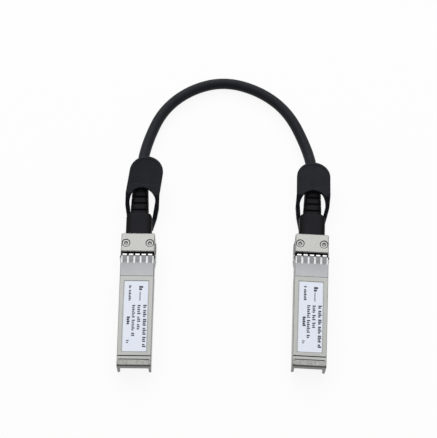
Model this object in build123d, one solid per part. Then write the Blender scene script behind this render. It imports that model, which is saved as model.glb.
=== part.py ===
"""A short direct attach copper cable: two pluggable metal modules joined by a twinax cable.

Each plug is modelled in its own frame: X across, Y from the mouth face towards the cable, Z up from
the surface that it lies on. Both plugs then go to their places in the pair, which lies flat with its
cable arched behind it. All sizes are in millimetres, and stations along a plug follow its length.
"""
import os
from math import atan2, degrees, pi, radians, tan

from build123d import *

# Module body, to the small form-factor pluggable standard
plug_length = 56.5
body_half_width = 6.85
body_height = 8.55
body_bottom = 0.45
mouth_taper = 0.15
wall = 0.7
roof = 1.0
floor_thickness = 1.0
parting_height = 5.25
edge_chamfer = 0.25
end_wall = 1.2

# Mouth and the lines on the top face
mouth_block_length = 2.9
mouth_bevel = 0.6
mouth_line_width = 0.3
mouth_line_depth = 0.37
mouth_panel_drop = 0.12
mouth_panel_margin = 0.85
open_bottom_length = 10.4
top_groove_at = 4.15
top_groove_width = 0.45
top_groove_depth = 0.5

# Label and its recess
label_recess_start = 5.6
label_recess_to_band = 1.9
label_recess_side = 1.75
label_recess_depth = 0.16
label_margin = 0.35
label_thickness = 0.12
label_corner = 0.5

# Head, which stays outside the cage, and the groove in front of it
head_length = 8.15
head_rise = 0.2
head_split = 4.85
head_corner = 0.7
head_edge = 0.35
stop_groove_width = 1.45
stop_groove_depth = 1.5
flange_before_head = 0.45
flange_to_rear = 2.5
flange_proud = 0.4
flange_sink = 1.0
flange_bottom = 0.8
flange_top = 4.3

# Grounding spring
sheet = 0.2
band_length = 9.2
band_gap = 0.15
band_open_end = 3.6
finger_overhang = 0.5
finger_crest_from_tip = 0.55
finger_ramp_from_tip = 1.05
finger_ramp_share = 0.88
finger_tip_share = 0.45
finger_root_bite = 0.4
finger_rise = 0.62
finger_gap = 0.87
top_finger_margin = 0.425
top_finger_count = 5
side_finger_width = 2.3
side_finger_heights = (2.6, 6.6)
side_finger_rise = 0.5
bottom_finger_width = 2.2
bottom_finger_side = 1.85
bottom_finger_rise = 0.38
band_bridge_length = 1.9
band_bridge_margin = 0.3

# Latch boss, latch slider and its channel
boss_width = 2.6
boss_length = 2.6
boss_to_head = 3.35
boss_flat = 0.8
slider_sheet = 0.6
slider_bottom = 0.75
slider_half_width = 3.0
slider_clearance = 0.15
slider_before_boss = 1.2
slider_past_rear = 5.5
slider_tail_half = 2.2
slider_hole_radius = 0.9
slider_hole_from_end = 2.1
wedge_length = 2.2
wedge_drop = 0.6
wedge_ramp_share = 0.6
wedge_flat_share = 0.2
web_above_channel = 1.1

# Return spring and the post that it pushes against
post_from_rear = 3.1
post_length = 0.8
post_half_width = 1.2
pocket_before_head = 0.75
pocket_half_width = 1.45
spring_strip = 0.24
spring_height = 0.5
spring_half_width = 1.05
spring_folds = 7
spring_end_gap = 0.1

# Paddle card and what it carries
card_start = 3.2
card_to_end_wall = 14.7
card_side_gap = 1.4
card_thickness = 1.0
card_height = 2.25
card_lead_in = 0.35
contact_pitch = 0.8
contact_width = 0.5
contact_length = 3.3
contact_thickness = 0.05
contacts_per_side = 10
chip_width = 3.9
chip_length = 4.9
chip_height = 1.2
chip_stand = 0.1
chip_from_card_end = 11.0
chip_lead_pitch = 1.27
chip_lead_first = 0.55
chip_lead_width = 0.4
chip_lead_reach = 0.7
chip_lead_height = 0.3
chip_lead_rows = 4
capacitor_places = (-3.2, -1.6, 1.6, 3.2)
capacitor_size = (0.5, 1.0, 0.5)
capacitor_from_card_end = 19.0
ledge_under_card = 0.7
ledge_start = 12.0
ledge_to_card_end = 1.0
post_over_card = 0.7
card_posts = ((18.0, 15.0), (5.0, 2.0))

# Cable and what holds it
cable_diameter = 4.6
axis_above_middle = 0.125
bore_clearance = 0.05
bore_depth = 3.0
pair_radius = 0.85
pair_spacing = 2.1
pair_past_card = 2.0
conductor_width = 0.35
conductor_spacing = 0.9
conductor_on_card = 2.5
conductor_in_pair = 0.5
ferrule_past_head = 0.95
ferrule_length = 3.2
ferrule_radius = 2.9
ferrule_bore = 2.2
wire_bore = 2.3

# Strain relief
boot_flange_from_rear = 2.9
boot_flange_length = 1.3
boot_flange_half = 4.2
boot_flange_height = 4.4
boot_neck_half = 3.5
boot_neck_height = 3.8
boot_fit = 0.05
boot_side = 1.5
boot_height = 5.5
boot_wide_length = 9.6
boot_wide_corner = 1.5
boot_shoulder = 1.9
boot_rib_half = 3.9
boot_rib_end_half = 3.3
boot_rib_drop = 0.2
boot_rib_end_drop = 0.3
boot_rib_corner = 1.7
boot_length = 22.5
boot_groove_first = 11.2
boot_groove_pitch = 3.0
boot_groove_width = 0.85
boot_groove_depth = 0.75
boot_groove_taper = 0.12
boot_groove_count = 4

# Cover screws
screw_side = 2.0
screw_from_rear = 4.4
screw_head_radius = 1.6
screw_head_height = 0.7
screw_shank_radius = 0.8
screw_length = 6.6
screw_socket_radius = 0.65
screw_socket_depth = 0.4
screw_seat_clearance = 0.13
screw_sink = 0.22
screw_tip_gap = 0.2
screw_thread_fit = 0.02

# Pull tab
tab_beside_body = 0.15
tab_arm = 1.6
tab_thickness = 1.5
tab_yoke_past_rear = 2.1
tab_yoke_length = 4.6
tab_yoke_half = 5.1
tab_yoke_corner = 0.8
tab_yoke_overlap = 1.5
tab_bottom = 0.1
tab_yoke_thickness = 1.75
tab_opening_past_rear = 8.3
tab_rise_past_rear = 10.5
tab_corner_past_rear = 13.7
tab_plate_past_rear = 18.1
tab_plate_bottom = 8.2
tab_bend = 0.8
tab_split = 0.4
tab_edge = 0.4
tab_relief_margin = 1.3
tab_relief_depth = 0.15

# The pair as it lies: each plug's mouth centre, its turn about Z, and how its tab sits
left_plug_place = (-34.7, -45.7)
right_plug_place = (34.15, -43.65)
toe_in = 1.25
left_tab = {
    "opening": 12.3,
    "plate": 14.3,
    "offset": 0.5,
    "arm_lean": -3.4,
    "plate_lean": -7.4,
    "pitch": 3.0,
}
right_tab = {
    "opening": 11.4,
    "plate": 13.7,
    "offset": -0.1,
    "arm_lean": -1.2,
    "plate_lean": 0.6,
    "pitch": -5.0,
}

# Cable route from boot to boot, in the frame of the pair
cable_route = [
    (-36.36, 30.3, 4.85),
    (-36.63, 42.78, 4.85),
    (-34.8, 56.4, 2.45),
    (-29.0, 72.1, 2.3),
    (-17.3, 82.9, 2.3),
    (-2.2, 87.5, 2.3),
    (13.8, 82.8, 2.3),
    (26.0, 72.5, 2.3),
    (33.8, 55.0, 2.45),
    (36.04, 42.83, 4.85),
    (35.81, 32.35, 4.85),
]
arc_share = 0.45

# Stations along the plug that follow from its length
head_start = plug_length - head_length
stop_groove_start = head_start - stop_groove_width
band_recess_start = stop_groove_start - band_length
band_start = band_recess_start + band_gap
finger_root = stop_groove_start - band_open_end
finger_tip = stop_groove_start + finger_overhang
inner_end = stop_groove_start - end_wall
label_recess_end = band_recess_start - label_recess_to_band
flange_start = head_start - flange_before_head
flange_end = plug_length - flange_to_rear
boss_end = head_start - boss_to_head
boss_start = boss_end - boss_length
slider_front = boss_start - slider_before_boss
slider_tail_end = plug_length + slider_past_rear
post_start = plug_length - post_from_rear
spring_pocket_start = head_start - pocket_before_head
card_end = inner_end - card_to_end_wall
chip_start = card_end - chip_from_card_end
capacitor_start = card_end - capacitor_from_card_end
pair_start = card_end + pair_past_card
ferrule_start = head_start + ferrule_past_head
boot_flange_start = plug_length - boot_flange_from_rear
boot_wide_end = plug_length + boot_wide_length
boot_end = plug_length + boot_length
screw_y = plug_length - screw_from_rear
tab_yoke_start = plug_length + tab_yoke_past_rear
tab_yoke_end = tab_yoke_start + tab_yoke_length
tab_root = tab_yoke_end - tab_yoke_overlap
tab_opening_start = plug_length + tab_opening_past_rear
tab_rise_start = plug_length + tab_rise_past_rear
tab_corner = plug_length + tab_corner_past_rear
tab_plate_start = plug_length + tab_plate_past_rear

# Widths and heights that follow from the body
body_top = body_bottom + body_height
parting = body_bottom + parting_height
head_top = body_top + head_rise
mouth_half_width = body_half_width - mouth_taper
mouth_panel_half = body_half_width - mouth_panel_margin
inner_half = mouth_half_width - wall
inner_floor = body_bottom + floor_thickness
inner_roof = body_top - roof
channel_half = slider_half_width + slider_clearance
channel_roof = slider_bottom + slider_sheet + slider_clearance
slider_top = slider_bottom + slider_sheet
latch_floor = channel_roof + web_above_channel
label_recess_half = body_half_width - label_recess_side
finger_pitch = (body_half_width - top_finger_margin) * 2 / top_finger_count
finger_width = finger_pitch - finger_gap
bottom_finger_x = body_half_width - bottom_finger_side
card_half_width = inner_half - card_side_gap
card_bottom = body_bottom + card_height
card_top = card_bottom + card_thickness
cable_axis = body_bottom + body_height / 2 + axis_above_middle
boot_wide_half = body_half_width - boot_side
screw_x = body_half_width - screw_side
tab_half_width = body_half_width + tab_beside_body

# Room for tools: how far a cutter reaches past, and how far a joined block bites in
far = 30.0
past = 1.0
bite = 0.1


def block(x_range, y_range, z_range):
    """Return a box that fills the three ranges, whose ends may come in either order."""
    size = [abs(high - low) for low, high in (x_range, y_range, z_range)]
    centre = [(high + low) / 2 for low, high in (x_range, y_range, z_range)]
    return Pos(*centre) * Box(*size)


def mirrored(half_width):
    """Return the range from minus to plus a half width."""
    return (-half_width, half_width)


def rod(radius, y_start, y_end, x=0.0):
    """Return a cylinder along Y between two stations, at the height of the cable's axis."""
    length = y_end - y_start
    return Pos(x, y_start + length / 2, cable_axis) * Rot(90, 0, 0) * Cylinder(radius, length)


def side_profile(points, half_width, x=0.0):
    """Extrude a polygon of (y, z) points evenly to both sides of x."""
    outline = Plane.YZ * Polyline(*points, close=True)
    return Pos(x, 0, 0) * extrude(make_face(outline), half_width, both=True)


def on_axis(y):
    """Return the place on the cable's axis at a station, with Z turned along Y."""
    return Pos(0, y, cable_axis) * Rot(-90, 0, 0)


def body_prism(z_low, z_high, outer_face):
    """Return the body between two heights, with its long outer edges bevelled.

    The body widens slightly from its mouth to the grounding band. The outer face is 0 for the
    bottom and -1 for the top.
    """
    plan = Polyline(
        (-mouth_half_width, 0),
        (mouth_half_width, 0),
        (body_half_width, band_recess_start),
        (body_half_width, head_start),
        (-body_half_width, head_start),
        (-body_half_width, band_recess_start),
        close=True,
    )
    prism = Pos(0, 0, z_low) * extrude(make_face(plan), z_high - z_low)
    face = prism.faces().sort_by(Axis.Z)[outer_face]
    return chamfer(face.edges().filter_by(lambda edge: abs(edge.center().X) > inner_half), edge_chamfer)


def band_bar(inset, y_low, y_high):
    """Return a bar with the body's bevelled section, all round smaller by the inset."""
    bar = block(
        mirrored(body_half_width - inset), (y_low, y_high), (body_bottom + inset, body_top - inset)
    )
    leg = edge_chamfer - inset * (2 - 2**0.5)
    return chamfer(bar.edges().filter_by(Axis.Y), leg)


def head_block(z_low, z_high):
    """Return the head between two heights, with rounded rear corners."""
    head = block(mirrored(body_half_width), (head_start, plug_length), (z_low, z_high))
    corners = head.edges().filter_by(Axis.Z).group_by(Axis.Y)[-1]
    return fillet(corners, head_corner)


def stop_groove():
    """Return the ring that is cut round the body between the grounding fingers and the head."""
    ring = block(mirrored(far), (stop_groove_start, head_start), mirrored(far))
    core = block(
        mirrored(body_half_width - stop_groove_depth),
        (0, head_start + past),
        (body_bottom + stop_groove_depth, body_top - stop_groove_depth),
    )
    return ring - core


def spring_recess():
    """Return the shallow band that is cut round the body for the grounding spring."""
    ring = block(mirrored(far), (band_recess_start, stop_groove_start), mirrored(far))
    return ring - band_bar(sheet, 0, head_start)


def cable_bores():
    """Return what is cut from both halves of the head for the wires, the ferrule and the boot."""
    wires = rod(wire_bore, inner_end - bite, ferrule_start)
    ferrule = rod(ferrule_radius + boot_fit, ferrule_start - boot_fit, boot_flange_start)
    flange = block(
        mirrored(boot_flange_half + boot_fit),
        (boot_flange_start - boot_fit, boot_flange_start + boot_flange_length + boot_fit),
        (
            cable_axis - boot_flange_height / 2 - boot_fit,
            cable_axis + boot_flange_height / 2 + boot_fit,
        ),
    )
    neck = block(
        mirrored(boot_neck_half + boot_fit),
        (boot_flange_start, plug_length + past),
        (cable_axis - boot_neck_height / 2 - boot_fit, cable_axis + boot_neck_height / 2 + boot_fit),
    )
    return wires + ferrule + flange + neck


def screw_bores():
    """Return the two stepped holes for the cover screws."""
    seat_depth = screw_head_height + screw_sink
    holes = []
    for side in (-1, 1):
        place = Pos(side * screw_x, screw_y, head_top - screw_sink - screw_length - screw_tip_gap)
        shank = Cylinder(screw_shank_radius, screw_length, align=(Align.CENTER, Align.CENTER, Align.MIN))
        holes.append(place * shank)
        seat_place = Pos(side * screw_x, screw_y, head_top - seat_depth)
        seat_radius = screw_head_radius + screw_seat_clearance
        seat = Cylinder(seat_radius, seat_depth + past, align=(Align.CENTER, Align.CENTER, Align.MIN))
        holes.append(seat_place * seat)
    return holes


def latch_boss():
    """Return the boss under the body that the cage's tab catches."""
    top = channel_roof + bite
    outline = [
        (boss_start, top),
        (boss_start, body_bottom),
        (boss_end - boss_flat, 0),
        (boss_end, 0),
        (boss_end, top),
    ]
    return side_profile(outline, boss_width / 2)


def base_housing():
    """Return the lower die casting: side walls, floor, head base, latch boss and channel."""
    base = body_prism(body_bottom, parting, 0)
    base -= block(mirrored(inner_half), (-past, inner_end), (inner_floor, parting + past))
    base -= block(mirrored(inner_half), (-past, open_bottom_length), (-past, inner_floor + past))
    base += block(mirrored(inner_half), (band_recess_start, inner_end), (body_bottom, latch_floor))
    for side in (-1, 1):
        base += block(
            (side * (card_half_width - ledge_under_card), side * (inner_half + bite)),
            (ledge_start, card_end - ledge_to_card_end),
            (inner_floor - bite, card_bottom),
        )
    base -= spring_recess()
    base -= stop_groove()
    base += head_block(0, head_split)
    for side in (-1, 1):
        base += block(
            (side * (body_half_width - flange_sink), side * (body_half_width + flange_proud)),
            (flange_start, flange_end),
            (flange_bottom, flange_top),
        )
    base -= block(mirrored(channel_half), (band_start, head_start), (-past, channel_roof))
    base -= block(
        mirrored(channel_half),
        (head_start - bite, plug_length + past),
        (slider_bottom - slider_clearance, channel_roof),
    )
    base += latch_boss()
    base += block(
        mirrored(post_half_width),
        (post_start, post_start + post_length),
        (slider_bottom, channel_roof + bite),
    )
    base -= cable_bores()
    for hole in screw_bores():
        base -= hole
    return base


def top_lines():
    """Return what is cut from the top face: the label recess, two lines and the mouth panel."""
    recess = block(
        mirrored(label_recess_half),
        (label_recess_start, label_recess_end),
        (body_top - label_recess_depth, far),
    )
    groove = block(
        mirrored(far),
        (top_groove_at - top_groove_width / 2, top_groove_at + top_groove_width / 2),
        (body_top - top_groove_depth, far),
    )
    panel = block(
        mirrored(mouth_panel_half), (-past, mouth_block_length), (body_top - mouth_panel_drop, far)
    )
    line = block(
        mirrored(mouth_panel_half),
        (mouth_block_length - mouth_line_width, mouth_block_length),
        (body_top - mouth_line_depth, far),
    )
    bevel = side_profile(
        [
            (-past, body_top - mouth_bevel - past),
            (-past, body_top + past),
            (mouth_bevel + past, body_top + past),
        ],
        far,
    )
    return [recess, groove, panel, line, bevel]


def top_cover():
    """Return the upper die casting with its label recess, mouth panel and head."""
    cover = body_prism(parting, body_top, -1)
    cover -= block(mirrored(inner_half), (mouth_block_length, inner_end), (parting - past, inner_roof))
    for before, after in card_posts:
        for side in (-1, 1):
            cover += block(
                (side * (card_half_width - post_over_card), side * (inner_half - bite)),
                (card_end - before, card_end - after),
                (card_top, inner_roof + bite),
            )
    for cut in top_lines():
        cover -= cut
    cover -= spring_recess()
    cover -= stop_groove()
    head = head_block(head_split, head_top)
    head = chamfer(head.faces().sort_by(Axis.Z)[-1].edges(), head_edge)
    cover += head
    cover -= cable_bores()
    for hole in screw_bores():
        cover -= hole
    return cover


def finger(rise, width):
    """Return one spring finger along Y: a ramp that rises from z = 0 and curls over at its tip."""
    lines = []
    for level in (0, -sheet):
        ramp_end = (finger_tip - finger_ramp_from_tip, level + rise * finger_ramp_share)
        crest = (finger_tip - finger_crest_from_tip, level + rise)
        tip = (finger_tip, level + rise * finger_tip_share)
        foot = Polyline((finger_root - finger_root_bite, level), (finger_root, level), ramp_end)
        lines.append(foot + ThreePointArc(ramp_end, crest, tip))
    outer, inner = lines
    root_end = Line((finger_root - finger_root_bite, 0), (finger_root - finger_root_bite, -sheet))
    tip_height = rise * finger_tip_share
    tip_end = Line((finger_tip, tip_height), (finger_tip, tip_height - sheet))
    outline = Curve() + [outer, inner, root_end, tip_end]
    return extrude(make_face(Plane.YZ * outline), width / 2, both=True)


def grounding_spring():
    """Return the stamped sleeve with its top, side and bottom fingers."""
    sleeve = band_bar(0, band_start, finger_root) - band_bar(sheet, 0, head_start)
    sleeve -= block(
        mirrored(channel_half + band_bridge_margin),
        (band_start + band_bridge_length, finger_root + past),
        (-past, body_bottom + past),
    )
    first = -(top_finger_count - 1) / 2 * finger_pitch
    for index in range(top_finger_count):
        sleeve += Pos(first + index * finger_pitch, 0, body_top) * finger(finger_rise, finger_width)
    for side in (-1, 1):
        under = Pos(side * bottom_finger_x, 0, body_bottom) * Rot(0, 180, 0)
        sleeve += under * finger(bottom_finger_rise, bottom_finger_width)
        for height in side_finger_heights:
            beside = Pos(side * body_half_width, 0, height) * Rot(0, side * 90, 0)
            sleeve += beside * finger(side_finger_rise, side_finger_width)
    return sleeve


def label():
    """Return the plain label that lies in the cover's recess."""
    size_x = 2 * (label_recess_half - label_margin)
    size_y = label_recess_end - label_recess_start - 2 * label_margin
    middle = Pos(0, (label_recess_start + label_recess_end) / 2)
    outline = middle * RectangleRounded(size_x, size_y, label_corner)
    return Pos(0, 0, body_top - label_recess_depth) * extrude(outline, label_thickness)


def cover_screws():
    """Return the two socket screws of the head as separate solids."""
    top = head_top - screw_sink
    shank_length = screw_length - screw_head_height
    screws = []
    for side in (-1, 1):
        head = Pos(0, 0, top - screw_head_height / 2) * Cylinder(screw_head_radius, screw_head_height)
        shank = Pos(0, 0, top - screw_head_height - shank_length / 2)
        screw = head + shank * Cylinder(screw_shank_radius - screw_thread_fit, shank_length)
        socket = Pos(0, 0, top - screw_socket_depth) * RegularPolygon(screw_socket_radius, 6)
        screw -= extrude(socket, past)
        screws.append(Pos(side * screw_x, screw_y, 0) * screw)
    return screws


def paddle_card():
    """Return the circuit card, whose bevelled front edge enters the host's socket."""
    section = [
        (card_start, card_bottom + card_lead_in),
        (card_start + 2 * card_lead_in, card_bottom),
        (card_end, card_bottom),
        (card_end, card_top),
        (card_start + 2 * card_lead_in, card_top),
        (card_start, card_top - card_lead_in),
    ]
    return side_profile(section, card_half_width)


def edge_contacts():
    """Return the rows of gold contacts on both faces of the card."""
    first = -(contacts_per_side - 1) / 2 * contact_pitch
    start = card_start + 3 * card_lead_in
    pads = []
    for index in range(contacts_per_side):
        middle = first + index * contact_pitch
        x_range = (middle - contact_width / 2, middle + contact_width / 2)
        y_range = (start, start + contact_length)
        pads.append(block(x_range, y_range, (card_top, card_top + contact_thickness)))
        pads.append(block(x_range, y_range, (card_bottom - contact_thickness, card_bottom)))
    return pads


def memory_chip():
    """Return the identification memory with its two rows of leads."""
    chip = block(
        mirrored(chip_width / 2),
        (chip_start, chip_start + chip_length),
        (card_top + chip_stand, card_top + chip_height),
    )
    for index in range(chip_lead_rows):
        y = chip_start + chip_lead_first + index * chip_lead_pitch
        chip += block(
            mirrored(chip_width / 2 + chip_lead_reach),
            (y - chip_lead_width / 2, y + chip_lead_width / 2),
            (card_top, card_top + chip_lead_height),
        )
    return chip


def chip_capacitors():
    """Return the four coupling capacitors behind the contacts."""
    width, length, height = capacitor_size
    solids = []
    for x in capacitor_places:
        solids.append(
            block(
                (x - width / 2, x + width / 2),
                (capacitor_start, capacitor_start + length),
                (card_top, card_top + height),
            )
        )
    return solids


def twinax_pairs():
    """Return the two wire pairs that run from the card to the boot, with their bare conductors."""
    pairs = []
    for side in (-1, 1):
        x = side * pair_spacing / 2
        pair = rod(pair_radius, pair_start, boot_flange_start, x)
        for twin in (-1, 1):
            middle = x + twin * conductor_spacing / 2
            pair += block(
                (middle - conductor_width / 2, middle + conductor_width / 2),
                (card_end - conductor_on_card, pair_start + conductor_in_pair),
                (card_top, cable_axis),
            )
        pairs.append(pair)
    return pairs


def crimp_ferrule():
    """Return the six-sided ring that clamps the cable's braid inside the head."""
    section = on_axis(ferrule_start) * RegularPolygon(ferrule_radius, 6)
    outside = extrude(section, ferrule_length, dir=(0, 1, 0))
    return outside - rod(ferrule_bore, ferrule_start - past, ferrule_start + ferrule_length + past)


def boot_tail():
    """Return the boot's tapered tail with its ring grooves, which let it bend."""
    tail = loft([
        on_axis(boot_wide_end - past)
        * RectangleRounded(2 * boot_rib_half, boot_height - boot_rib_drop, boot_rib_corner),
        on_axis(boot_end)
        * RectangleRounded(2 * boot_rib_end_half, boot_height - boot_rib_end_drop, boot_rib_corner),
    ])
    for index in range(boot_groove_count):
        start = plug_length + boot_groove_first + index * boot_groove_pitch - boot_groove_width / 2
        depth = boot_groove_depth + boot_groove_taper * index
        core_half_height = (boot_height - boot_rib_drop) / 2 - depth
        core = block(
            mirrored(boot_rib_half - depth),
            (start - past, start + boot_groove_width + past),
            (cable_axis - core_half_height, cable_axis + core_half_height),
        )
        ring = block(mirrored(far), (start, start + boot_groove_width), mirrored(far))
        tail -= ring - core
    return tail


def strain_relief():
    """Return the moulded boot: a flange and neck in the head, a wide grip and a ribbed tail."""
    flange = block(
        mirrored(boot_flange_half),
        (boot_flange_start, boot_flange_start + boot_flange_length),
        (cable_axis - boot_flange_height / 2, cable_axis + boot_flange_height / 2),
    )
    neck = block(
        mirrored(boot_neck_half),
        (boot_flange_start, plug_length + bite),
        (cable_axis - boot_neck_height / 2, cable_axis + boot_neck_height / 2),
    )
    section = on_axis(plug_length) * RectangleRounded(2 * boot_wide_half, boot_height, boot_wide_corner)
    wide = extrude(section, boot_wide_length, dir=(0, 1, 0))
    plan = Pos(0, (plug_length + boot_wide_end) / 2) * Rectangle(2 * boot_wide_half, boot_wide_length)
    plan = fillet(plan.vertices().group_by(Axis.Y)[-1], boot_shoulder)
    wide &= extrude(plan, far)
    boot = flange + neck + wide + boot_tail()
    return boot - rod(cable_diameter / 2 + bore_clearance, boot_end - bore_depth, boot_end + past)


def latch_slider():
    """Return the stamped slider whose wedge tips push the cage's tab off the boss."""
    z_range = (slider_bottom, slider_top)
    slider = block(mirrored(slider_half_width), (slider_front, plug_length + past), z_range)
    slider += block(mirrored(slider_tail_half), (plug_length, slider_tail_end), z_range)
    slot_half = boss_width / 2 + 2 * slider_clearance
    slider -= block(mirrored(slot_half), (0, boss_end + 2 * slider_clearance), (-past, far))
    slider -= block(
        mirrored(pocket_half_width),
        (spring_pocket_start, post_start + post_length + slider_clearance),
        (-past, far),
    )
    ramp_end = slider_front + wedge_length * wedge_ramp_share
    flat_end = ramp_end + wedge_length * wedge_flat_share
    wedge = [
        (slider_front, slider_bottom + bite),
        (slider_front, slider_bottom),
        (ramp_end, slider_bottom - wedge_drop),
        (flat_end, slider_bottom - wedge_drop),
        (slider_front + wedge_length, slider_bottom),
        (slider_front + wedge_length, slider_bottom + bite),
    ]
    fork_half = (slider_half_width - slot_half) / 2
    for side in (-1, 1):
        slider += side_profile(wedge, fork_half, side * (slot_half + fork_half))
    hole = Pos(0, slider_tail_end - slider_hole_from_end, 0) * Cylinder(slider_hole_radius, far)
    return slider - hole


def return_spring():
    """Return the flat zigzag spring that pushes the slider back."""
    start = spring_pocket_start + spring_end_gap
    length = post_start - spring_end_gap - start
    step = (length - spring_strip) / spring_folds
    reach = spring_half_width - spring_strip / 2
    points = []
    for index in range(spring_folds + 1):
        side = 1 if index % 2 else -1
        points.append((side * reach, start + spring_strip / 2 + index * step))
    strip = Sketch()
    for first, second in zip(points, points[1:]):
        dx = second[0] - first[0]
        dy = second[1] - first[1]
        run = (dx**2 + dy**2) ** 0.5
        angle = degrees(atan2(dy, dx))
        middle = Pos((first[0] + second[0]) / 2, (first[1] + second[1]) / 2)
        strip += middle * Rot(0, 0, angle) * Rectangle(run, spring_strip)
    for x, y in points:
        strip += Pos(x, y) * Rectangle(spring_strip, spring_strip)
    height = slider_bottom + (slider_sheet - spring_height) / 2
    return Pos(0, 0, height) * extrude(strip, spring_height)


def tab_arch(tab):
    """Return the station where the opening between the tab's arms ends."""
    return tab_opening_start + tab["opening"]


def tab_tip(tab):
    """Return the station of the tab's domed tip."""
    return tab_arch(tab) + tab["plate"]


def tab_plan(inset, tab):
    """Return the tab's outline in plan, from its yoke to its round tip."""
    half = tab_half_width - inset
    root = tab_yoke_half - inset
    dome_start = tab_tip(tab) - tab_half_width
    sides = Polyline(
        (-half, dome_start),
        (-half, tab_corner),
        (-root, tab_root),
        (root, tab_root),
        (half, tab_corner),
        (half, dome_start),
    )
    return make_face(sides + CenterArc((0, dome_start), half, 0, 180))


def tab_opening(tab):
    """Return the opening between the tab's arms, arched at the cable end."""
    half = tab_half_width - tab_arm
    widening = (tab_half_width - tab_yoke_half) / (tab_corner - tab_root)
    narrow = tab_yoke_half + widening * (tab_opening_start - tab_root) - tab_arm
    arch_start = tab_arch(tab) - half
    sides = Polyline(
        (-half, arch_start),
        (-narrow, tab_opening_start),
        (narrow, tab_opening_start),
        (half, arch_start),
    )
    return make_face(sides + CenterArc((0, arch_start), half, 0, 180))


def turned_in_plan(shape, y, angle):
    """Turn a shape about the vertical line through x = 0 at the given station."""
    return Pos(0, y, 0) * Rot(0, 0, angle) * Pos(0, -y, 0) * shape


def tab_plate(tab):
    """Return the tab's broad plate with its bevelled rim and shallow thumb recess, pitched at its bend."""
    plate_top = tab_plate_bottom + tab_thickness
    dome_start = tab_tip(tab) - tab_half_width
    plan = tab_plan(0, tab) - tab_opening(tab)
    plate = Pos(0, 0, tab_plate_bottom) * extrude(plan, tab_thickness)
    plate -= block(mirrored(far), (0, tab_plate_start - tab_split), mirrored(far))
    edges = plate.faces().sort_by(Axis.Z)[-1].edges()
    rim = edges.filter_by(
        lambda edge: edge.center().Y > dome_start or abs(edge.center().X) > tab_half_width - tab_edge
    )
    plate = chamfer(rim, tab_edge)
    relief = Pos(0, 0, plate_top - tab_relief_depth) * extrude(tab_plan(tab_relief_margin, tab), past)
    relief -= block(mirrored(far), (0, tab_arch(tab) + tab_relief_margin), mirrored(far))
    hinge = Pos(0, tab_plate_start + tab_split, tab_plate_bottom)
    return hinge * Rot(tab["pitch"], 0, 0) * hinge.inverse() * (plate - relief)


def tab_arms(tab):
    """Return the tab's two arms, which rise from the yoke and bend level where the plate starts."""
    end = tab_plate_start + tab_split
    rise = side_profile(
        [
            (tab_root, tab_bottom),
            (tab_rise_start, tab_bottom),
            (tab_plate_start, tab_plate_bottom),
            (end, tab_plate_bottom),
            (end, tab_plate_bottom + tab_thickness),
            (tab_plate_start - tab_bend, tab_plate_bottom + tab_thickness),
            (tab_rise_start - tab_bend, tab_bottom + tab_yoke_thickness),
            (tab_root, tab_bottom + tab_yoke_thickness),
        ],
        far,
    )
    return rise & extrude(tab_plan(0, tab) - tab_opening(tab), far)


def pull_tab(tab, slider):
    """Return the moulded tab: a yoke on the slider's tail, two arms and a broad plate."""
    bend = tab_plate_start + tab_split
    plate = turned_in_plan(tab_plate(tab), bend, tab["plate_lean"] - tab["arm_lean"])
    upper = turned_in_plan(tab_arms(tab) + plate, tab_yoke_end, tab["arm_lean"])
    yoke = block(
        mirrored(tab_yoke_half),
        (tab_yoke_start, tab_opening_start),
        (tab_bottom, tab_bottom + tab_yoke_thickness),
    )
    yoke = fillet(yoke.edges().filter_by(Axis.Z), tab_yoke_corner)
    return (yoke + Pos(tab["offset"], 0, 0) * upper) - slider


def cable_jacket():
    """Return the cable: straight runs joined by arcs as large as the runs allow."""
    points = [Vector(*point) for point in cable_route]
    radii = []
    for before, corner, after in zip(points, points[1:], points[2:]):
        turn = (corner - before).get_angle(after - corner)
        shorter = min((corner - before).length, (after - corner).length)
        radii.append(arc_share * shorter / tan(radians(turn / 2)))
    print("cable radii", [round(radius, 1) for radius in radii])
    path = FilletPolyline(*points, radius=radii)
    section = Plane(points[0], z_dir=path % 0) * Circle(cable_diameter / 2)
    tube = sweep(section, path=path)
    expected = pi * (cable_diameter / 2) ** 2 * path.length
    print("cable length", round(path.length, 2), "volume share", round(tube.volume / expected, 4))
    return tube


def plug(tab):
    """Return every piece of one plug by name, in the plug's own frame."""
    slider = latch_slider()
    return {
        "base_housing": base_housing(),
        "top_cover": top_cover(),
        "grounding_spring": grounding_spring(),
        "label": label(),
        "cover_screws": cover_screws(),
        "paddle_card": paddle_card(),
        "edge_contacts": edge_contacts(),
        "memory_chip": memory_chip(),
        "chip_capacitors": chip_capacitors(),
        "twinax_pairs": twinax_pairs(),
        "crimp_ferrule": crimp_ferrule(),
        "strain_relief": strain_relief(),
        "latch_slider": slider,
        "return_spring": return_spring(),
        "pull_tab": pull_tab(tab, slider),
    }


def write_piece(name, shape):
    """Write one piece, or a group of like pieces, to its STEP file."""
    if isinstance(shape, list):
        shape = Compound(children=shape)
    export_step(shape, f"parts/{name}.step")


def main():
    """Build both plugs and the cable, and write each piece to its own file."""
    os.makedirs("parts", exist_ok=True)
    sides = (
        ("left", left_plug_place, toe_in, left_tab),
        ("right", right_plug_place, -toe_in, right_tab),
    )
    for side, (x, y), turn, tab in sides:
        place = Pos(x, y, 0) * Rot(0, 0, turn)
        for name, shape in plug(tab).items():
            placed = [place * solid for solid in shape] if isinstance(shape, list) else place * shape
            write_piece(f"{name}_{side}", placed)
    write_piece("cable_jacket", cable_jacket())


main()
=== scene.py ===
"""Dress and light the copper cable pair: two metal plugs joined by one black cable.

Lengths are in metres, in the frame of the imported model: X across the pair, Y from the plugs'
mouths towards the cable's arch, Z up from the table. Each plug also has a frame of its own, with
its mouth at y = 0 and the cable at high y, and the pieces made here are built in that frame.
"""
import logging
from dataclasses import dataclass, field, replace
from enum import Enum
from math import cos, radians, sin

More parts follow.
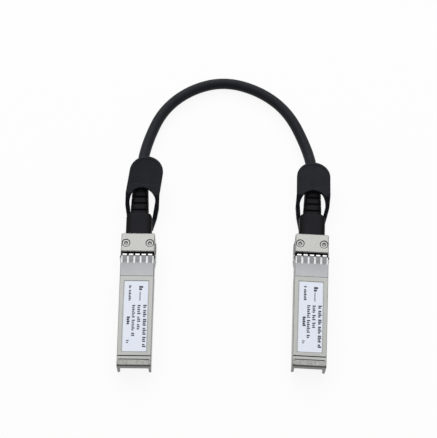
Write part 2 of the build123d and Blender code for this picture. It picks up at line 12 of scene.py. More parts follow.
import bmesh
import bpy
from mathutils import Matrix, Vector

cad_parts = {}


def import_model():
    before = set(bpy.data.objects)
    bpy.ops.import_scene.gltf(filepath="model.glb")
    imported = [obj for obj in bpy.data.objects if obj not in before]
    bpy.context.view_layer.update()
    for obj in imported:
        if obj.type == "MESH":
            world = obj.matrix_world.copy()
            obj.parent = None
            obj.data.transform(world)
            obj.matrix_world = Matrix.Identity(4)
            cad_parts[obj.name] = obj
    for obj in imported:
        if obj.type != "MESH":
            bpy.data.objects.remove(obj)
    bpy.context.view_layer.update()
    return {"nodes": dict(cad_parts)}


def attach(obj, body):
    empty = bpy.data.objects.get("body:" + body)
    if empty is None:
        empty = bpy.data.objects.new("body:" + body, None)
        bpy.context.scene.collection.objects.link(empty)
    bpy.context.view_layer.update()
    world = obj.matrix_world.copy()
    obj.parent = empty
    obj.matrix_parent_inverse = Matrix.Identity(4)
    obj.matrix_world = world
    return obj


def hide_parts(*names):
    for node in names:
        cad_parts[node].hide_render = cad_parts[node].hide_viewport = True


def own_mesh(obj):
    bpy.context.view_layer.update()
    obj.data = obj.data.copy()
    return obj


LOG = logging.getLogger("cable_pair")
MM = 0.001

Colour = tuple[float, float, float]
Point = tuple[float, float, float]

# Stations along a plug from its mouth, and the screws' place, in millimetres in the plug's frame
MOUTH_FRONT = -1.0
MOUTH_RIM_END = 0.65
MOUTH_BEVEL_END = 2.9
FINGERS_START = 43.4
FINGERS_END = 46.5
GROOVE_START = 46.7
HEAD_FRONT = 48.4
METAL_END = 60.0
BOOT_START = 50.0
BOOT_RIBS_START = 66.3
BOOT_END = 90.0
SCREW_ACROSS = 4.85
SCREW_STATION = 52.1

SHARP_ANGLE = radians(32.0)
MERGE_DISTANCE = 0.002 * MM
SPRING_MERGE_DISTANCE = 0.001 * MM


class Side(Enum):
    """The two plugs of the pair, as the camera sees them."""

    LEFT = "left"
    RIGHT = "right"


class Slot(Enum):
    """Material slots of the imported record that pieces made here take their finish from."""

    HOUSING = "housing"
    LABEL = "label"
    FERRULE = "ferrule"
    SPRING_STEEL = "spring_steel"
    JACKET = "jacket"


@dataclass(frozen=True)
class PlugPlace:
    """Where one plug lies: its mouth's centre on the table and its turn about the vertical."""

    x: float
    y: float
    turn: float

    def matrix(self) -> Matrix:
        """Return the transform from the plug's own frame to the frame of the pair."""
        return Matrix.Translation((self.x, self.y, 0.0)) @ Matrix.Rotation(self.turn, 4, "Z")

    def matrix_from_mm(self) -> Matrix:
        """Return the same transform for a shape that is drawn in millimetres."""
        return self.matrix() @ Matrix.Scale(MM, 4)


PLACES = {
    Side.LEFT: PlugPlace(-34.7 * MM, -45.7 * MM, radians(1.25)),
    Side.RIGHT: PlugPlace(34.15 * MM, -43.65 * MM, radians(-1.25)),
}


# Shader wiring


@dataclass
class Wiring:
    """A node tree with short calls for adding nodes and joining their sockets."""

    tree: bpy.types.NodeTree

    def add(self, kind: str, **settings: object) -> bpy.types.Node:
        """Add a node and set its properties.

        Args:
            kind: the node's type, such as ShaderNodeBump.
            **settings: properties of the node, such as operation="ADD".

        Returns:
            The new node.
        """
        node = self.tree.nodes.new(kind)
        for name, value in settings.items():
            setattr(node, name, value)
        return node

    def join(self, source: bpy.types.NodeSocket, target: bpy.types.NodeSocket) -> None:
        """Link an output socket to an input socket."""
        self.tree.links.new(source, target)

    def math(
        self, operation: str, first: object, second: object = 0.0
    ) -> bpy.types.NodeSocket:
        """Add a Math node whose operands are sockets or numbers.

        Args:
            operation: the node's operation, such as MULTIPLY.
            first: a socket or a number.
            second: a socket or a number, which an operation on one value doesn't use.

        Returns:
            The node's output socket.
        """
        node = self.add("ShaderNodeMath", operation=operation)
        for index, operand in enumerate((first, second)):
            if isinstance(operand, bpy.types.NodeSocket):
                self.join(operand, node.inputs[index])
            else:
                node.inputs[index].default_value = operand
        return node.outputs[0]

    def fade(self, value: bpy.types.NodeSocket, low: float, high: float) -> bpy.types.NodeSocket:
        """Return a socket that rises smoothly from 0 at a low value to 1 at a high one."""
        node = self.add("ShaderNodeMapRange", interpolation_type="SMOOTHSTEP")
        node.inputs["From Min"].default_value = low
        node.inputs["From Max"].default_value = high
        self.join(value, node.inputs["Value"])
        return node.outputs[0]

    def near(
        self, value: bpy.types.NodeSocket, middle: float, reach: float
    ) -> bpy.types.NodeSocket:
        """Return a socket that is 1 where a value is within a reach of a middle, and else 0."""
        result = self.math("COMPARE", value, middle)
        result.node.inputs[2].default_value = reach
        return result

    def mix_colour(
        self, share: bpy.types.NodeSocket, low: object, high: object
    ) -> bpy.types.NodeSocket:
        """Mix two colours, each a socket or a colour, by a share from 0 to 1.

        Args:
            share: the share of the second colour.
            low: the colour at share 0.
            high: the colour at share 1.

        Returns:
            The mixed colour's socket.
        """
        node = self.add("ShaderNodeMix", data_type="RGBA")
        self.join(share, node.inputs[0])
        for index, colour in ((6, low), (7, high)):
            if isinstance(colour, bpy.types.NodeSocket):
                self.join(colour, node.inputs[index])
            else:
                node.inputs[index].default_value = (*colour, 1.0)
        return node.outputs[2]


class EffectGroups:
    """Shader node groups that several finishes share, each built once."""

    def __init__(self) -> None:
        """Build every group."""
        self.grain = self._grain()
        self.tone = self._tone()
        self.edge = self._edge()
        self.painted_shade = self._painted_shade()

    @staticmethod
    def _new(name: str, inputs: dict[str, float], outputs: dict[str, str]) -> Wiring:
        """Start a group with float inputs and the named outputs.

        Args:
            name: the group's name.
            inputs: each input's name and default value.
            outputs: each output's name and socket type.

        Returns:
            The wiring of the new group, which holds its input and output nodes.
        """
        tree = bpy.data.node_groups.new(name, "ShaderNodeTree")
        for label, value in inputs.items():
            socket = tree.interface.new_socket(label, in_out="INPUT", socket_type="NodeSocketFloat")
            socket.default_value = value
        for label, kind in outputs.items():
            tree.interface.new_socket(label, in_out="OUTPUT", socket_type=kind)
        return Wiring(tree)

    def _grain(self) -> bpy.types.NodeTree:
        """Build fine grain over Object coordinates: a height and the same pattern as a mask.

        Returns:
            The group's tree, with inputs Scale and Contrast.
        """
        wiring = self._new(
            "fine_grain",
            {"Scale": 3000.0, "Contrast": 1.0},
            {"Height": "NodeSocketFloat", "Mask": "NodeSocketFloat"},
        )
        source = wiring.add("NodeGroupInput")
        result = wiring.add("NodeGroupOutput")
        place = wiring.add("ShaderNodeTexCoord")
        noise = wiring.add("ShaderNodeTexNoise")
        noise.inputs["Detail"].default_value = 5.0
        noise.inputs["Roughness"].default_value = 0.6
        wiring.join(place.outputs["Object"], noise.inputs["Vector"])
        wiring.join(source.outputs["Scale"], noise.inputs["Scale"])
        centred = wiring.math("SUBTRACT", noise.outputs[0], 0.5)
        height = wiring.math("MULTIPLY", centred, source.outputs["Contrast"])
        mask = wiring.add("ShaderNodeMapRange")
        wiring.join(height, mask.inputs["Value"])
        mask.inputs["From Min"].default_value = -0.25
        mask.inputs["From Max"].default_value = 0.25
        wiring.join(height, result.inputs["Height"])
        wiring.join(mask.outputs[0], result.inputs["Mask"])
        return wiring.tree

    def _tone(self) -> bpy.types.NodeTree:
        """Build broad, soft clouds that shift a finish's tone from place to place.

        Returns:
            The group's tree, with inputs Scale and Spread and the output Share.
        """
        wiring = self._new(
            "cloudy_tone", {"Scale": 120.0, "Spread": 1.0}, {"Share": "NodeSocketFloat"}
        )
        source = wiring.add("NodeGroupInput")
        result = wiring.add("NodeGroupOutput")
        place = wiring.add("ShaderNodeTexCoord")
        noise = wiring.add("ShaderNodeTexNoise")
        noise.inputs["Detail"].default_value = 3.0
        noise.inputs["Distortion"].default_value = 0.4
        wiring.join(place.outputs["Object"], noise.inputs["Vector"])
        wiring.join(source.outputs["Scale"], noise.inputs["Scale"])
        soft = wiring.add("ShaderNodeMapRange")
        soft.interpolation_type = "SMOOTHSTEP"
        soft.inputs["From Min"].default_value = 0.32
        soft.inputs["From Max"].default_value = 0.68
        wiring.join(noise.outputs[0], soft.inputs["Value"])
        share = wiring.math("MULTIPLY", soft.outputs[0], source.outputs["Spread"])
        wiring.join(share, result.inputs["Share"])
        return wiring.tree

    def _edge(self) -> bpy.types.NodeTree:
        """Build rounded edges: a softened normal, and a mask that is 1 on the edges, where the
        finishes paint a highlight with some wear.

        Returns:
            The group's tree, with inputs Radius and Gain and the outputs Normal and Wear.
        """
        wiring = self._new(
            "edge_wear_and_highlight",
            {"Radius": 0.0001, "Gain": 4.0},
            {"Normal": "NodeSocketVector", "WearAndHighlight": "NodeSocketFloat"},
        )
        source = wiring.add("NodeGroupInput")
        result = wiring.add("NodeGroupOutput")
        rounded = wiring.add("ShaderNodeBevel", samples=6)
        wiring.join(source.outputs["Radius"], rounded.inputs["Radius"])
        surface = wiring.add("ShaderNodeNewGeometry")
        alike = wiring.add("ShaderNodeVectorMath", operation="DOT_PRODUCT")
        wiring.join(rounded.outputs[0], alike.inputs[0])
        wiring.join(surface.outputs["Normal"], alike.inputs[1])
        apart = wiring.math("SUBTRACT", 1.0, alike.outputs["Value"])
        gained = wiring.math("MULTIPLY", apart, source.outputs["Gain"])
        wear = wiring.add("ShaderNodeClamp")
        wiring.join(gained, wear.inputs[0])
        wiring.join(rounded.outputs[0], result.inputs["Normal"])
        wiring.join(wear.outputs[0], result.inputs["WearAndHighlight"])
        return wiring.tree

    def _painted_shade(self) -> bpy.types.NodeTree:
        """Build a mask that is 1 deep in grooves and corners, where the finishes paint shade.

        Returns:
            The group's tree, with inputs Reach, Open and Closed and the output Share.
        """
        wiring = self._new(
            "painted_recess_shade",
            {"Reach": 0.0015, "Open": 0.75, "Closed": 0.3},
            {"Share": "NodeSocketFloat"},
        )
        source = wiring.add("NodeGroupInput")
        result = wiring.add("NodeGroupOutput")
        openness = wiring.add("ShaderNodeAmbientOcclusion", samples=8)
        wiring.join(source.outputs["Reach"], openness.inputs["Distance"])
        share = wiring.add("ShaderNodeMapRange")
        share.interpolation_type = "SMOOTHSTEP"
        wiring.join(openness.outputs["AO"], share.inputs["Value"])
        wiring.join(source.outputs["Open"], share.inputs["From Min"])
        wiring.join(source.outputs["Closed"], share.inputs["From Max"])
        wiring.join(share.outputs[0], result.inputs["Share"])
        return wiring.tree


# Finishes


@dataclass(frozen=True)
class Zone:
    """A stretch of a plug that has a tint, most often painted shade or light, in millimetres in the
    plug's frame.

    The distance across is taken from the plug's middle line, so a zone lies on both sides alike.
    A soft zone fades in over that distance from its inner limit, and a mottled one shows in spots.
    """

    tint: Colour
    start: float
    end: float
    inner: float = 0.0
    soft: float = 0.0
    mottle_scale: float = 0.0
    mottle_distortion: float = 1.2
    mottle_range: tuple[float, float] = (0.42, 0.62)
    over: bool = False

    def share(
        self, wiring: Wiring, across: bpy.types.NodeSocket, station: bpy.types.NodeSocket
    ) -> bpy.types.NodeSocket:
        """Return a mask that is 1 in the zone.

        Args:
            wiring: the material's wiring.
            across: the distance from the plug's middle line, in metres.
            station: the distance from the plug's mouth, in metres.

        Returns:
            The mask's socket.
        """
        middle = (self.start + self.end) / 2 * MM
        share = wiring.near(station, middle, (self.end - self.start) / 2 * MM)
        if self.inner:
            fade = wiring.fade(across, self.inner * MM, (self.inner + self.soft) * MM)
            share = wiring.math("MULTIPLY", share, fade)
        if self.mottle_scale:
            place = wiring.add("ShaderNodeTexCoord")
            noise = wiring.add("ShaderNodeTexNoise")
            noise.inputs["Scale"].default_value = self.mottle_scale
            noise.inputs["Distortion"].default_value = self.mottle_distortion
            wiring.join(place.outputs["Object"], noise.inputs["Vector"])
            spots = wiring.fade(noise.outputs[0], *self.mottle_range)
            share = wiring.math("MULTIPLY", share, spots)
        return share


@dataclass(frozen=True)
class Ring:
    """A ring round a place on a plug, tinted with painted shadow, in millimetres in the plug's
    frame.

    Like a zone it lies on both sides of the middle line, and it marks every height alike.
    """

    tint: Colour
    across: float
    station: float
    inner: float
    outer: float
    over: bool = True

    def share(
        self, wiring: Wiring, across: bpy.types.NodeSocket, station: bpy.types.NodeSocket
    ) -> bpy.types.NodeSocket:
        """Return a mask that is 1 on the ring.

        Args:
            wiring: the material's wiring.
            across: the distance from the plug's middle line, in metres.
            station: the distance from the plug's mouth, in metres.

        Returns:
            The mask's socket.
        """
        sideways = wiring.math("SUBTRACT", across, self.across * MM)
        lengthways = wiring.math("SUBTRACT", station, self.station * MM)
        squares = wiring.math(
            "ADD",
            wiring.math("MULTIPLY", sideways, sideways),
            wiring.math("MULTIPLY", lengthways, lengthways),
        )
        distance = wiring.math("SQRT", squares)
        middle = (self.inner + self.outer) / 2 * MM
        return wiring.near(distance, middle, (self.outer - self.inner) / 2 * MM)


@dataclass(frozen=True)
class Finish:
    """One procedural finish: a colour that drifts, a grain, softened edges with a painted highlight
    and some wear, painted shade in recesses, tinted zones that mostly paint shade and light, and a
    gloss.

    The tints and the grain come from shared node groups; what is the same all over is set on
    the shader's own sockets.
    """

    name: str
    colour: Colour
    shaded: Colour
    # the colour on edges: a painted edge highlight, with some wear
    worn_and_highlight: Colour
    roughness: float
    metallic: float = 0.0
    grain_scale: float = 3000.0
    grain_height: float = 0.00001
    grain_gloss: float = 0.1
    tone_scale: float = 120.0
    tone_spread: float = 1.0
    edge_radius: float = 0.0001
    edge_gain: float = 4.0
    specular: float = 0.5
    # reach and colour of the painted shade that darkens deep grooves and corners
    painted_shade_reach: float = 0.0
    painted_shade_colour: Colour = (0.02, 0.02, 0.02)
    zones: tuple[Zone | Ring, ...] = ()
    side: Side = Side.LEFT

    def material(self, groups: EffectGroups) -> bpy.types.Material:
        """Build the finish's material.

        Args:
            groups: the shared effects.

        Returns:
            The new material.
        """
        material = bpy.data.materials.new(self.name)
        material.use_nodes = True
        wiring = Wiring(material.node_tree)
        shader = material.node_tree.nodes["Principled BSDF"]
        shader.inputs["Metallic"].default_value = self.metallic
        shader.inputs["Specular IOR Level"].default_value = self.specular
        grain = self._effect(wiring, groups.grain, {"Scale": self.grain_scale})
        tone = self._effect(
            wiring, groups.tone, {"Scale": self.tone_scale, "Spread": self.tone_spread}
        )
        edge = self._effect(
            wiring, groups.edge, {"Radius": self.edge_radius, "Gain": self.edge_gain}
        )
        coloured = wiring.mix_colour(tone.outputs["Share"], self.colour, self.shaded)
        coloured = self._local_tints(wiring, coloured, over=False)
        # Painted edge highlight, with some wear, in the edge colour.
        coloured = wiring.mix_colour(edge.outputs["WearAndHighlight"], coloured, self.worn_and_highlight)
        # Painted shade: deep grooves and corners turn to the shade colour.
        if self.painted_shade_reach:
            painted_shade = self._effect(wiring, groups.painted_shade, {"Reach": self.painted_shade_reach})
            coloured = wiring.mix_colour(painted_shade.outputs["Share"], coloured, self.painted_shade_colour)
        coloured = self._local_tints(wiring, coloured, over=True)
        wiring.join(coloured, shader.inputs["Base Color"])
        gloss = wiring.math("MULTIPLY_ADD", grain.outputs["Mask"], self.grain_gloss)
        gloss.node.inputs[2].default_value = self.roughness - self.grain_gloss / 2
        wiring.join(gloss, shader.inputs["Roughness"])
        bump = wiring.add("ShaderNodeBump")
        bump.inputs["Distance"].default_value = self.grain_height
        wiring.join(grain.outputs["Height"], bump.inputs["Height"])
        wiring.join(edge.outputs["Normal"], bump.inputs["Normal"])
        wiring.join(bump.outputs[0], shader.inputs["Normal"])
        return material

    def _local_tints(
        self, wiring: Wiring, coloured: bpy.types.NodeSocket, over: bool
    ) -> bpy.types.NodeSocket:
        """Mix in the tints of the finish's zones, read from Object coordinates; most of them paint
        shade or light.

        Args:
            wiring: the material's wiring.
            coloured: the colour so far.
            over: whether to mix in the zones over the painted edge highlight and the painted shade
                in recesses, or those under them.

        Returns:
            The colour with the zones' tints.
        """
        zones = [zone for zone in self.zones if zone.over == over]
        if zones:
            across, station = self._plug_coordinates(wiring)
            for zone in zones:
                share = zone.share(wiring, across, station)
                coloured = wiring.mix_colour(share, coloured, zone.tint)
        return coloured

    def _plug_coordinates(
        self, wiring: Wiring
    ) -> tuple[bpy.types.NodeSocket, bpy.types.NodeSocket]:
        """Return the distances from the plug's middle line and from its mouth, in metres."""
        back = PLACES[self.side].matrix().inverted()
        place = wiring.add("ShaderNodeTexCoord")
        mapping = wiring.add("ShaderNodeMapping")
        mapping.inputs["Location"].default_value = back.translation
        mapping.inputs["Rotation"].default_value = back.to_euler()
        parts = wiring.add("ShaderNodeSeparateXYZ")
        wiring.join(place.outputs["Object"], mapping.inputs["Vector"])
        wiring.join(mapping.outputs[0], parts.inputs[0])
        return wiring.math("ABSOLUTE", parts.outputs["X"]), parts.outputs["Y"]

    def on(self, side: Side) -> "Finish":
        """Return the finish for one plug: itself, or where it has zones, a copy for that side."""
        return replace(self, name=self.name + "_" + side.value, side=side) if self.zones else self

    @staticmethod
    def _effect(
        wiring: Wiring, tree: bpy.types.NodeTree, values: dict[str, float]
    ) -> bpy.types.Node:
        """Place a shared effect in a material with its own values.

        Args:
            wiring: the material's wiring.
            tree: the shared group.
            values: the group's inputs by name.

        Returns:
            The group's node.
        """
        node = wiring.add("ShaderNodeGroup", node_tree=tree)
        for label, value in values.items():
            node.inputs[label].default_value = value
        return node


CAST_METAL = Finish(
    "nickel_plated_casting", (0.385, 0.39, 0.378), (0.355, 0.362, 0.348), (0.50, 0.50, 0.49), 0.42,
    metallic=0.92, grain_scale=5200.0, grain_height=0.000012, grain_gloss=0.14, tone_scale=90.0,
    edge_radius=0.00012, painted_shade_reach=0.0016,
    zones=(
        Zone((0.395, 0.395, 0.38), HEAD_FRONT, METAL_END),
        # Painted shade on the mouth end, which faces the dark front: the bevel darker, darker in
        # mottled spots, and the front rim darkest.
        Zone((0.345, 0.345, 0.33), MOUTH_RIM_END, MOUTH_BEVEL_END),
        Zone((0.23, 0.23, 0.22), 0.7, 2.8, mottle_scale=1300.0),
        Zone((0.18, 0.18, 0.175), MOUTH_FRONT, MOUTH_RIM_END),
        # Painted shade on the plug's sides, darker than the top.
        Zone((0.29, 0.29, 0.28), MOUTH_RIM_END, METAL_END, inner=6.78, soft=0.05),
        # Painted light on the cover between the spring's fingers, over the painted shade in
        # recesses.
        Zone((0.60, 0.603, 0.608), 43.5, FINGERS_END, over=True),
        # Painted shadow, near black, in the stop groove and on the head's front wall.
        Zone((0.02, 0.02, 0.02), GROOVE_START, 48.365, over=True),
    ),
)
COVER_METAL = replace(
    CAST_METAL,
    name="nickel_plated_cover",
    zones=(
        *CAST_METAL.zones,
        # Painted shadow in a ring round each screw, in the gap between its head and its seat.
        Ring((0.04, 0.04, 0.04), SCREW_ACROSS, SCREW_STATION, 1.45, 1.72),
    ),
)
SPRING_METAL = Finish(
    "tinned_spring_sheet", (0.295, 0.30, 0.31), (0.28, 0.285, 0.295), (0.5, 0.5, 0.51), 0.3,
    metallic=1.0, grain_scale=7000.0, grain_height=0.000004, grain_gloss=0.08, edge_radius=0.00006,
    zones=(
        # Painted shade on the fingers' slopes: a little darker along the fingers, darker still
        # where they rise.
        Zone((0.29, 0.295, 0.305), FINGERS_START, FINGERS_END),
        Zone((0.225, 0.23, 0.24), 43.45, 44.9),
        # Painted highlight on the fingers' tips, where they turn down into the groove.
        Zone((0.62, 0.62, 0.63), GROOVE_START, 48.0, over=True),
    ),
)
SCREW_METAL = Finish(
    "turned_screw_steel", (0.40, 0.40, 0.39), (0.33, 0.33, 0.32), (0.6, 0.6, 0.59), 0.3,
    metallic=1.0, grain_scale=6000.0, tone_scale=600.0, edge_radius=0.00008, painted_shade_reach=0.0009,
    zones=(
        # Painted shadow in a ring at the screw head's rim, and a painted shaded ring round its
        # socket.
        Ring((0.05, 0.05, 0.05), SCREW_ACROSS, SCREW_STATION, 1.36, 1.8),
        Ring((0.09, 0.09, 0.085), SCREW_ACROSS, SCREW_STATION, 0.6, 0.9),
    ),
)
SLIDER_METAL = Finish(
    "stamped_slider_steel", (0.42, 0.42, 0.42), (0.36, 0.36, 0.365), (0.62, 0.62, 0.62), 0.34,
    metallic=1.0, grain_scale=5000.0, edge_radius=0.00006,
)
FERRULE_METAL = Finish(
    "crimped_ferrule_brass", (0.55, 0.5, 0.4), (0.48, 0.43, 0.33), (0.7, 0.64, 0.5), 0.34,
    metallic=1.0,
)
LABEL_PAPER = Finish(
    "coated_label_paper", (0.785, 0.83, 0.93), (0.76, 0.80, 0.905), (0.84, 0.86, 0.92), 0.5,
    grain_scale=9000.0, grain_height=0.000002, tone_scale=60.0, tone_spread=0.6,
    edge_radius=0.00003,
)
LABEL_INK = Finish(
    "printed_ink", (0.028, 0.028, 0.045), (0.05, 0.05, 0.07), (0.08, 0.08, 0.1), 0.55,
    grain_scale=9000.0, grain_height=0.000001, tone_scale=900.0, specular=0.2,
)
BOARD_LAMINATE = Finish(
    "solder_masked_board", (0.015, 0.075, 0.04), (0.012, 0.055, 0.03), (0.05, 0.12, 0.07), 0.3,
    grain_scale=2500.0, grain_height=0.000004, tone_scale=400.0,
)
GOLD_PLATE = Finish(
    "gold_plated_contact", (0.80, 0.58, 0.24), (0.72, 0.5, 0.2), (0.9, 0.7, 0.36), 0.22,
    metallic=1.0, grain_scale=9000.0, grain_height=0.000001, edge_radius=0.00003,
)
CHIP_EPOXY = Finish(
    "moulded_chip_epoxy", (0.03, 0.03, 0.032), (0.022, 0.022, 0.024), (0.07, 0.07, 0.07), 0.6,
    grain_scale=8000.0, grain_height=0.000005, edge_radius=0.00005,
)
CAPACITOR_CERAMIC = Finish(
    "capacitor_ceramic", (0.42, 0.30, 0.19), (0.36, 0.25, 0.16), (0.6, 0.55, 0.48), 0.4,
    tone_scale=700.0, edge_radius=0.00005,
)
WIRE_PLASTIC = Finish(
    "wire_insulation_plastic", (0.62, 0.64, 0.68), (0.55, 0.57, 0.62), (0.7, 0.72, 0.75), 0.35,
    tone_scale=300.0,
)
SOLDER = Finish(
    "solder_joint", (0.62, 0.62, 0.60), (0.52, 0.52, 0.5), (0.7, 0.7, 0.7), 0.25,
    metallic=1.0, tone_scale=900.0,
)
BOOT_PLASTIC = Finish(
    "moulded_boot_plastic",
    (0.0095, 0.0098, 0.0145), (0.008, 0.0083, 0.0122), (0.013, 0.014, 0.019), 0.5,
    grain_scale=4200.0, grain_height=0.000010, grain_gloss=0.16, edge_radius=0.0006, edge_gain=1.0,
    specular=0.1,
    zones=(
        # Painted shade on the grip's sides, fading from its middle; the ribbed part is darker all
        # over, with painted shade on its sides too.
        Zone((0.0015, 0.0015, 0.002), BOOT_START, BOOT_RIBS_START, inner=2.4, soft=2.0),
        Zone((0.006, 0.006, 0.0085), BOOT_RIBS_START, BOOT_END),
        Zone((0.0010, 0.0010, 0.0014), BOOT_RIBS_START, BOOT_END, inner=1.2, soft=1.4),
    ),
)
TAB_PLASTIC = Finish(
    "moulded_tab_plastic",
    (0.009, 0.0100, 0.0148), (0.0065, 0.0073, 0.0112), (0.034, 0.036, 0.044), 0.54,
    grain_scale=3600.0, grain_height=0.000014, grain_gloss=0.18, tone_scale=260.0,
    # The edge colour, with this gain, paints a highlight along the tab's rim.
    edge_radius=0.0003, edge_gain=3.0, specular=0.12,
)
JACKET_PLASTIC = Finish(
    "extruded_cable_jacket",
    (0.0135, 0.0142, 0.0195), (0.0115, 0.0122, 0.0168), (0.016, 0.017, 0.021), 0.52,
    grain_scale=1900.0, grain_height=0.000016, grain_gloss=0.2, edge_radius=0.0001, edge_gain=0.0,
    specular=0.13,
)

NODE_FINISHES = {
    "base_housing": CAST_METAL,
    "top_cover": COVER_METAL,
    "grounding_spring": SPRING_METAL,
    "label": LABEL_PAPER,
    "cover_screws": SCREW_METAL,
    "paddle_card": BOARD_LAMINATE,
    "edge_contacts": GOLD_PLATE,
    "memory_chip": CHIP_EPOXY,
    "chip_capacitors": CAPACITOR_CERAMIC,
    "twinax_pairs": WIRE_PLASTIC,
    "crimp_ferrule": FERRULE_METAL,
    "strain_relief": BOOT_PLASTIC,
    "latch_slider": SLIDER_METAL,
    "return_spring": SPRING_METAL,
    "pull_tab": TAB_PLASTIC,
    "cable_jacket": JACKET_PLASTIC,
}


class Palette:
    """Every finish's material, built once and shared by the pieces."""

    def __init__(self) -> None:
        """Build the shared effects."""
        self._groups = EffectGroups()
        self._made: dict[str, bpy.types.Material] = {}

    def of(self, finish: Finish) -> bpy.types.Material:
        """Return the material of a finish, built at its first use."""
        if finish.name not in self._made:
            self._made[finish.name] = finish.material(self._groups)
        return self._made[finish.name]


# Meshes


def mesh_object(
    name: str, bm: bmesh.types.BMesh, place: Matrix, material: bpy.types.Material
) -> bpy.types.Object:
    """Turn a bmesh into an object at the origin, with its place in its mesh.

    Args:
        name: the piece's name.
        bm: the shape, which is freed.
        place: the transform from the shape's frame to the frame of the pair.
        material: the piece's material.

    Returns:
        The linked object.
    """
    bmesh.ops.transform(bm, matrix=place, verts=bm.verts)
    mesh = bpy.data.meshes.new(name)
    bm.to_mesh(mesh)
    bm.free()
    mesh.materials.append(material)
    piece = bpy.data.objects.new(name, mesh)
    bpy.context.scene.collection.objects.link(piece)
    return piece


def add_slab(bm: bmesh.types.BMesh, low: Vector, high: Vector) -> None:
    """Add a box between two corners to a bmesh."""
    centre = (low + high) / 2
    size = high - low
    matrix = Matrix.Translation(centre) @ Matrix.Diagonal((*size, 1.0))
    bmesh.ops.create_cube(bm, size=1.0, matrix=matrix)


def smooth_sharp_tree() -> bpy.types.NodeTree:
    """Build the modifier that merges a CAD mesh's loose triangles and shades its curves smooth.

    Returns:
        The geometry node group, which keeps edges over the sharp angle sharp.
    """
    tree = bpy.data.node_groups.new("smooth_by_angle", "GeometryNodeTree")
    tree.interface.new_socket("Geometry", in_out="INPUT", socket_type="NodeSocketGeometry")
    tree.interface.new_socket("Geometry", in_out="OUTPUT", socket_type="NodeSocketGeometry")
    wiring = Wiring(tree)
    source = wiring.add("NodeGroupInput")
    result = wiring.add("NodeGroupOutput")
    merge = wiring.add("GeometryNodeMergeByDistance")
    merge.inputs["Distance"].default_value = MERGE_DISTANCE
    soften = wiring.add("GeometryNodeSetShadeSmooth", domain="FACE")
    angle = wiring.add("GeometryNodeInputMeshEdgeAngle")
    steep = wiring.add("FunctionNodeCompare", data_type="FLOAT", operation="GREATER_THAN")
    steep.inputs[1].default_value = SHARP_ANGLE
    sharpen = wiring.add("GeometryNodeSetShadeSmooth", domain="EDGE")
    sharpen.inputs["Shade Smooth"].default_value = False
    wiring.join(source.outputs[0], merge.inputs["Geometry"])
    wiring.join(merge.outputs[0], soften.inputs["Geometry"])
    wiring.join(angle.outputs["Unsigned Angle"], steep.inputs[0])
    wiring.join(steep.outputs[0], sharpen.inputs["Selection"])
    wiring.join(soften.outputs[0], sharpen.inputs["Geometry"])
    wiring.join(sharpen.outputs[0], result.inputs[0])
    return tree


@dataclass
class CarriedNodes:
    """The CAD nodes that keep their shape and get a finish and smooth curves."""

    nodes: dict[str, bpy.types.Object]
    palette: Palette

    def dress(self) -> None:
        """Give every carried-over node its finish and the smoothing modifier."""
        tree = smooth_sharp_tree()
        for name, node in self.nodes.items():
            finish = self._finish(name)
            node.data.materials.clear()
            node.data.materials.append(self.palette.of(finish))
            modifier = node.modifiers.new("smooth_by_angle", "NODES")
            modifier.node_group = tree
            LOG.info("%s dressed in %s", name, finish.name)

    @staticmethod
    def _finish(name: str) -> Finish:
        """Return the finish of a node by its name, whose end says which plug it is on."""
        stem, _, ending = name.rpartition("_")
        if stem in NODE_FINISHES:
            return NODE_FINISHES[stem].on(Side(ending))
        return NODE_FINISHES[name]


@dataclass
class Cable:
    """The black cable, one smooth spline from boot to boot."""

    diameter: float = 4.6 * MM
    length: float = 148.1 * MM
    boot_exit: Vector = field(default_factory=lambda: Vector((-36.42, 33.28, 4.85)) * MM)
    route: tuple[Point, ...] = (
        (-36.36, 30.3, 4.85),
        (-36.63, 42.78, 4.85),
        (-34.8, 56.4, 2.45),
        (-29.0, 72.1, 2.3),
        (-17.3, 82.9, 2.3),
        (-2.2, 87.5, 2.3),
        (13.8, 82.8, 2.3),
        (26.0, 72.5, 2.3),
        (33.8, 55.0, 2.45),
        (36.04, 42.83, 4.85),
        (35.81, 32.35, 4.85),
    )

    def build(self, palette: Palette) -> bpy.types.Object:
        """Args:
            palette: the shared materials.

        Returns:
            The cable's curve object.
        """
        curve = bpy.data.curves.new("cable", "CURVE")
        curve.dimensions = "3D"
        spline = curve.splines.new("NURBS")
        spline.points.add(len(self.route) - 1)
        for point, place in zip(spline.points, self.route):
            point.co = (*(Vector(place) * MM), 1.0)
        spline.order_u = 3
        spline.use_endpoint_u = True
        spline.resolution_u = 16
        curve.bevel_depth = self.diameter / 2
        curve.bevel_resolution = 9
        curve.use_fill_caps = True
        curve.materials.append(palette.of(JACKET_PLASTIC))
        cable = bpy.data.objects.new("cable", curve)
        bpy.context.scene.collection.objects.link(cable)
        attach(cable, "root")
        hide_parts("cable_jacket")
        LOG.info("cable built along %d points", len(self.route))
        return cable


@dataclass(frozen=True)
class PrintRow:
    """One row of made-up print on a label, which runs down the plug's length.

    Sizes are in millimetres in the plug's frame. A word is a run of plain bars, so nothing on
    the label can be read.
    """

    x: float
    start: float
    words: tuple[int, ...]
    height: float
    pitch: float
    stroke: float


